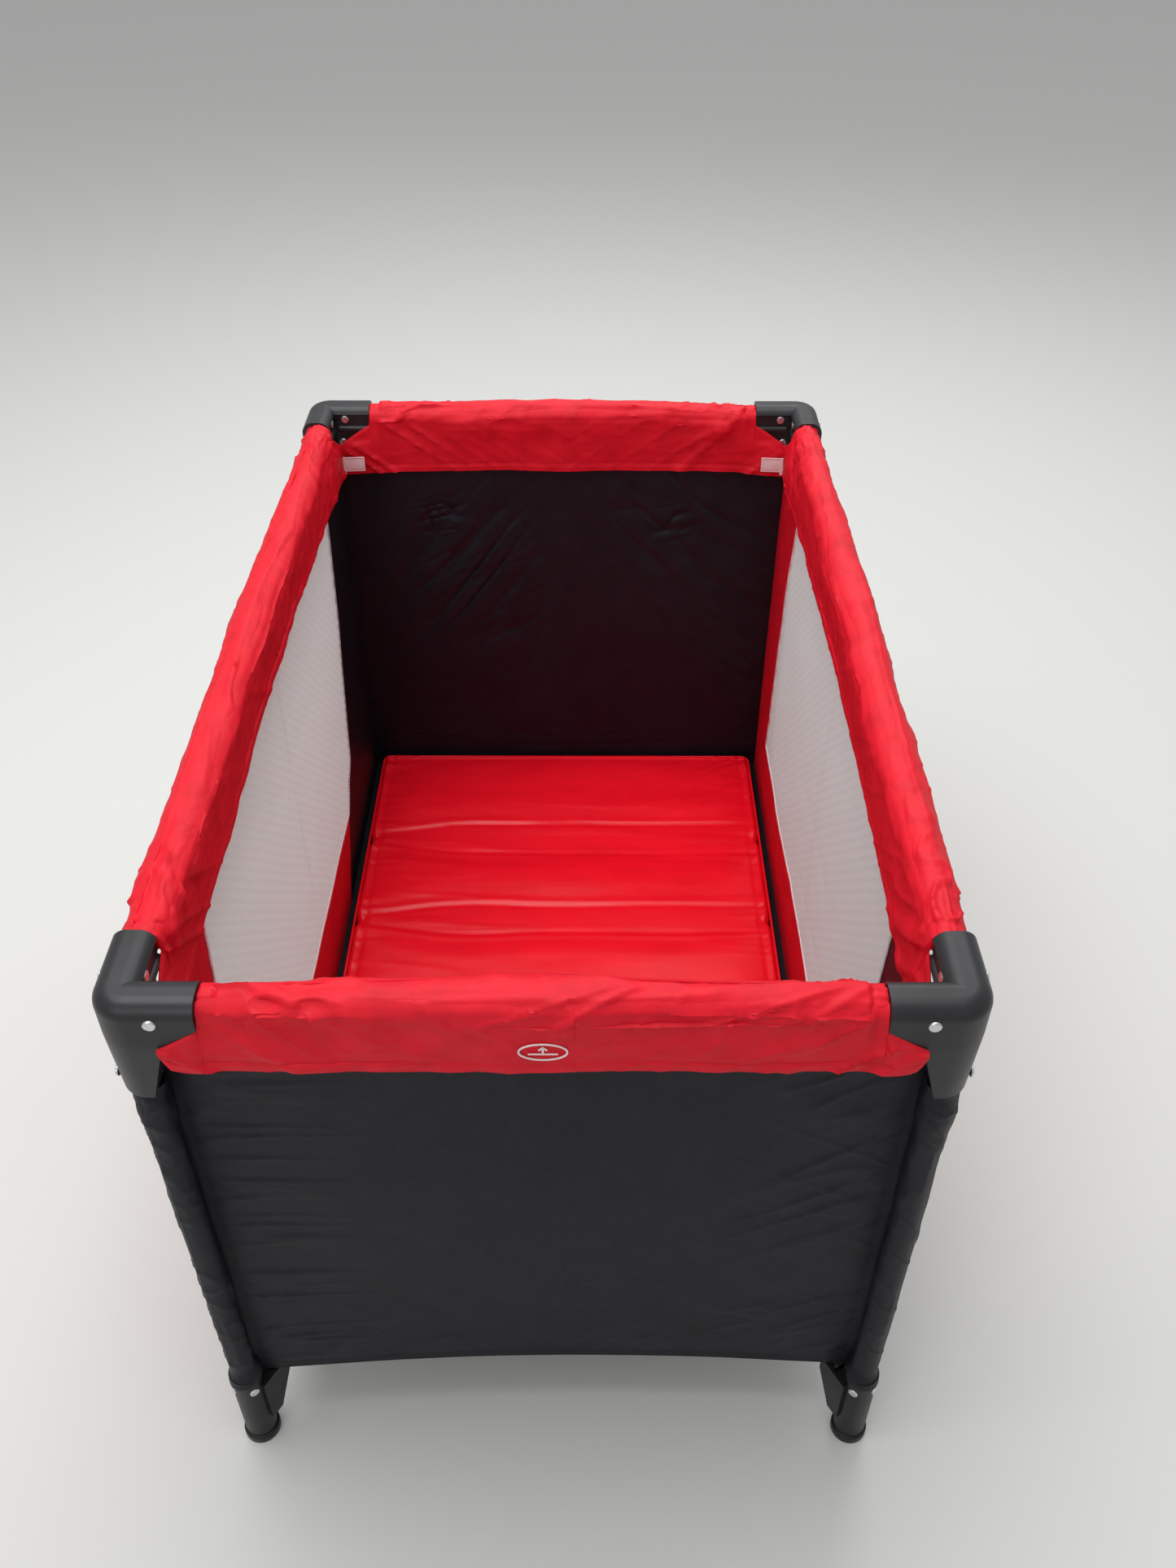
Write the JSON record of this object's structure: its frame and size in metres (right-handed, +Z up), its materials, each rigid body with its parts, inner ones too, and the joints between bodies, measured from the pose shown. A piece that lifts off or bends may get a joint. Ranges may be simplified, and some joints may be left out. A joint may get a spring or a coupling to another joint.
{
  "type": "folding playpen",
  "caption": "Folding travel cot playpen: padded rails on hinged half tubes, corner brackets, mesh long sides, cloth ends, tubular legs and a segmented mat on a folding base.",
  "frame": {"origin": "centre of the footprint, on the floor", "axes": "+X across the width to the right, +Y along the length from the labelled end to the far end, +Z up"},
  "size_m": [0.7224, 1.1364, 0.76],
  "materials": {
    "bracket_plastic": "satin",
    "foot_plastic": "satin",
    "frame_steel": "satin",
    "rivet_steel": "polished",
    "black_cloth": "matte",
    "red_cloth": "matte",
    "white_mesh": "matte",
    "red_vinyl": "satin",
    "red_button": "satin",
    "strap_webbing": "matte"
  },
  "bodies": {
    "leg_fl": {"corner_bracket_fl": "bracket_plastic", "leg_tube_fl": "frame_steel", "foot_fl": "foot_plastic", "rivets_fl": "rivet_steel", "leg_sleeve_fl": "black_cloth", "end_panel_front_left": "black_cloth", "mesh_side_left_front": "white_mesh"},
    "leg_fr": {"corner_bracket_fr": "bracket_plastic", "leg_tube_fr": "frame_steel", "foot_fr": "foot_plastic", "rivets_fr": "rivet_steel", "leg_sleeve_fr": "black_cloth", "end_panel_front_right": "black_cloth", "mesh_side_right_front": "white_mesh"},
    "leg_bl": {"corner_bracket_bl": "bracket_plastic", "leg_tube_bl": "frame_steel", "foot_bl": "foot_plastic", "rivets_bl": "rivet_steel", "leg_sleeve_bl": "black_cloth", "end_panel_back_left": "black_cloth", "mesh_side_left_back": "white_mesh"},
    "leg_br": {"corner_bracket_br": "bracket_plastic", "leg_tube_br": "frame_steel", "foot_br": "foot_plastic", "rivets_br": "rivet_steel", "leg_sleeve_br": "black_cloth", "end_panel_back_right": "black_cloth", "mesh_side_right_back": "white_mesh"},
    "rail_front_left": {"rail_tube_front_left": "frame_steel", "rail_cover_front_left": "red_cloth"},
    "rail_back_left": {"rail_tube_back_left": "frame_steel", "rail_cover_back_left": "red_cloth"},
    "rail_front_right": {"rail_tube_front_right": "frame_steel", "rail_cover_front_right": "red_cloth"},
    "rail_back_right": {"rail_tube_back_right": "frame_steel", "rail_cover_back_right": "red_cloth"},
    "rail_left_front": {"rail_tube_left_front": "frame_steel", "rail_cover_left_front": "red_cloth"},
    "rail_left_back": {"rail_tube_left_back": "frame_steel", "rail_cover_left_back": "red_cloth"},
    "rail_right_front": {"rail_tube_right_front": "frame_steel", "rail_cover_right_front": "red_cloth"},
    "rail_right_back": {"rail_tube_right_back": "frame_steel", "rail_cover_right_back": "red_cloth"},
    "lock_front": {"rail_lock_front": "bracket_plastic"},
    "button_front": {"lock_button_front": "red_button"},
    "lock_back": {"rail_lock_back": "bracket_plastic"},
    "button_back": {"lock_button_back": "red_button"},
    "lock_left": {"rail_lock_left": "bracket_plastic"},
    "button_left": {"lock_button_left": "red_button"},
    "lock_right": {"rail_lock_right": "bracket_plastic"},
    "button_right": {"lock_button_right": "red_button"},
    "base_fl": {"base_tube_fl": "frame_steel"},
    "base_fr": {"base_tube_fr": "frame_steel"},
    "base_bl": {"base_tube_bl": "frame_steel"},
    "base_br": {"base_tube_br": "frame_steel"},
    "hub": {"base_hub": "foot_plastic", "floor_cloth": "black_cloth"},
    "strap": {"lift_strap": "strap_webbing"},
    "mat": {"mat": "red_vinyl"}
  },
  "joints": [
    {"name": "fold", "type": "hinge", "parent": "leg_fl", "child": "base_fl", "pos_m": [-0.314, -0.521, 0.1], "axis": [0.8647, -0.5023, 0], "range_deg": [0, 82], "deforming": ["leg_sleeve_fl", "end_panel_front_left", "mesh_side_left_front", "leg_sleeve_fr", "end_panel_front_right", "mesh_side_right_front", "leg_sleeve_bl", "end_panel_back_left", "mesh_side_left_back", "leg_sleeve_br", "end_panel_back_right", "mesh_side_right_back", "rail_cover_front_left", "rail_cover_back_left", "rail_cover_front_right", "rail_cover_back_right", "rail_cover_left_front", "rail_cover_left_back", "rail_cover_right_front", "rail_cover_right_back", "floor_cloth", "mat"]},
    {"name": "hub_level", "type": "hinge", "parent": "base_fl", "child": "hub", "pos_m": [-0.027, -0.027, 0.1], "axis": [0.8647, -0.5023, 0], "range_deg": [-83, 1]},
    {"name": "base_fr_swing", "type": "hinge", "parent": "hub", "child": "base_fr", "pos_m": [0.027, -0.027, 0.1], "axis": [0.8647, 0.5023, 0], "range_deg": [-1, 83]},
    {"name": "leg_fr_level", "type": "hinge", "parent": "base_fr", "child": "leg_fr", "pos_m": [0.314, -0.521, 0.1], "axis": [0.8647, 0.5023, 0], "range_deg": [-83, 1]},
    {"name": "base_bl_swing", "type": "hinge", "parent": "hub", "child": "base_bl", "pos_m": [-0.027, 0.027, 0.1], "axis": [-0.8647, -0.5023, 0], "range_deg": [-1, 83]},
    {"name": "leg_bl_level", "type": "hinge", "parent": "base_bl", "child": "leg_bl", "pos_m": [-0.314, 0.521, 0.1], "axis": [-0.8647, -0.5023, 0], "range_deg": [-83, 1]},
    {"name": "base_br_swing", "type": "hinge", "parent": "hub", "child": "base_br", "pos_m": [0.027, 0.027, 0.1], "axis": [-0.8647, 0.5023, 0], "range_deg": [-1, 83]},
    {"name": "leg_br_level", "type": "hinge", "parent": "base_br", "child": "leg_br", "pos_m": [0.314, 0.521, 0.1], "axis": [-0.8647, 0.5023, 0], "range_deg": [-83, 1]},
    {"name": "rail_front_left_drop", "type": "hinge", "parent": "leg_fl", "child": "rail_front_left", "pos_m": [-0.308, -0.543, 0.736], "axis": [0, 1, 0], "range_deg": [-1, 83]},
    {"name": "rail_back_left_drop", "type": "hinge", "parent": "leg_bl", "child": "rail_back_left", "pos_m": [-0.308, 0.543, 0.736], "axis": [0, 1, 0], "range_deg": [-1, 83]},
    {"name": "rail_front_right_drop", "type": "hinge", "parent": "leg_fr", "child": "rail_front_right", "pos_m": [0.308, -0.543, 0.736], "axis": [0, -1, 0], "range_deg": [-1, 83]},
    {"name": "rail_back_right_drop", "type": "hinge", "parent": "leg_br", "child": "rail_back_right", "pos_m": [0.308, 0.543, 0.736], "axis": [0, -1, 0], "range_deg": [-1, 83]},
    {"name": "rail_left_front_drop", "type": "hinge", "parent": "leg_fl", "child": "rail_left_front", "pos_m": [-0.336, -0.515, 0.736], "axis": [-1, 0, 0], "range_deg": [-1, 83]},
    {"name": "rail_left_back_drop", "type": "hinge", "parent": "leg_bl", "child": "rail_left_back", "pos_m": [-0.336, 0.515, 0.736], "axis": [1, 0, 0], "range_deg": [-1, 83]},
    {"name": "rail_right_front_drop", "type": "hinge", "parent": "leg_fr", "child": "rail_right_front", "pos_m": [0.336, -0.515, 0.736], "axis": [-1, 0, 0], "range_deg": [-1, 83]},
    {"name": "rail_right_back_drop", "type": "hinge", "parent": "leg_br", "child": "rail_right_back", "pos_m": [0.336, 0.515, 0.736], "axis": [1, 0, 0], "range_deg": [-1, 83]},
    {"name": "lock_front_level", "type": "hinge", "parent": "rail_front_left", "child": "lock_front", "pos_m": [-0.021, -0.543, 0.736], "axis": [0, 1, 0], "range_deg": [-83, 1]},
    {"name": "button_front_press", "type": "slide", "parent": "lock_front", "child": "button_front", "axis": [0, 0, 1], "range_m": [0, 0.006], "stiffness_N_per_m": 400, "springref_m": -0.002},
    {"name": "lock_back_level", "type": "hinge", "parent": "rail_back_left", "child": "lock_back", "pos_m": [-0.021, 0.543, 0.736], "axis": [0, 1, 0], "range_deg": [-83, 1]},
    {"name": "button_back_press", "type": "slide", "parent": "lock_back", "child": "button_back", "axis": [0, 0, 1], "range_m": [0, 0.006], "stiffness_N_per_m": 400, "springref_m": -0.002},
    {"name": "lock_left_level", "type": "hinge", "parent": "rail_left_front", "child": "lock_left", "pos_m": [-0.336, -0.021, 0.736], "axis": [-1, 0, 0], "range_deg": [-83, 1]},
    {"name": "button_left_press", "type": "slide", "parent": "lock_left", "child": "button_left", "axis": [0, 0, 1], "range_m": [0, 0.006], "stiffness_N_per_m": 400, "springref_m": -0.002},
    {"name": "lock_right_level", "type": "hinge", "parent": "rail_right_front", "child": "lock_right", "pos_m": [0.336, -0.021, 0.736], "axis": [-1, 0, 0], "range_deg": [-83, 1]},
    {"name": "button_right_press", "type": "slide", "parent": "lock_right", "child": "button_right", "axis": [0, 0, 1], "range_m": [0, 0.006], "stiffness_N_per_m": 400, "springref_m": -0.002},
    {"name": "strap_pull", "type": "slide", "parent": "hub", "child": "strap", "axis": [0, 0, 1], "range_m": [0, 0.09]},
    {"name": "mat_lift", "type": "slide", "parent": "strap", "child": "mat", "axis": [0, 0, 1], "range_m": [0, 0.75]}
  ],
  "couplings": [
    {"joint": "hub_level", "follows": "fold", "ratio": -1},
    {"joint": "base_fr_swing", "follows": "fold", "ratio": 1},
    {"joint": "leg_fr_level", "follows": "fold", "ratio": -1},
    {"joint": "base_bl_swing", "follows": "fold", "ratio": 1},
    {"joint": "leg_bl_level", "follows": "fold", "ratio": -1},
    {"joint": "base_br_swing", "follows": "fold", "ratio": 1},
    {"joint": "leg_br_level", "follows": "fold", "ratio": -1},
    {"joint": "rail_front_left_drop", "follows": "fold", "ratio": 1},
    {"joint": "rail_back_left_drop", "follows": "fold", "ratio": 1},
    {"joint": "rail_front_right_drop", "follows": "fold", "ratio": 1},
    {"joint": "rail_back_right_drop", "follows": "fold", "ratio": 1},
    {"joint": "rail_left_front_drop", "follows": "fold", "ratio": 1},
    {"joint": "rail_left_back_drop", "follows": "fold", "ratio": 1},
    {"joint": "rail_right_front_drop", "follows": "fold", "ratio": 1},
    {"joint": "rail_right_back_drop", "follows": "fold", "ratio": 1},
    {"joint": "lock_front_level", "follows": "fold", "ratio": -1},
    {"joint": "lock_back_level", "follows": "fold", "ratio": -1},
    {"joint": "lock_left_level", "follows": "fold", "ratio": -1},
    {"joint": "lock_right_level", "follows": "fold", "ratio": -1},
    {"joint": "strap_pull", "follows": "fold", "m_per_rad": 0.06}
  ]
}
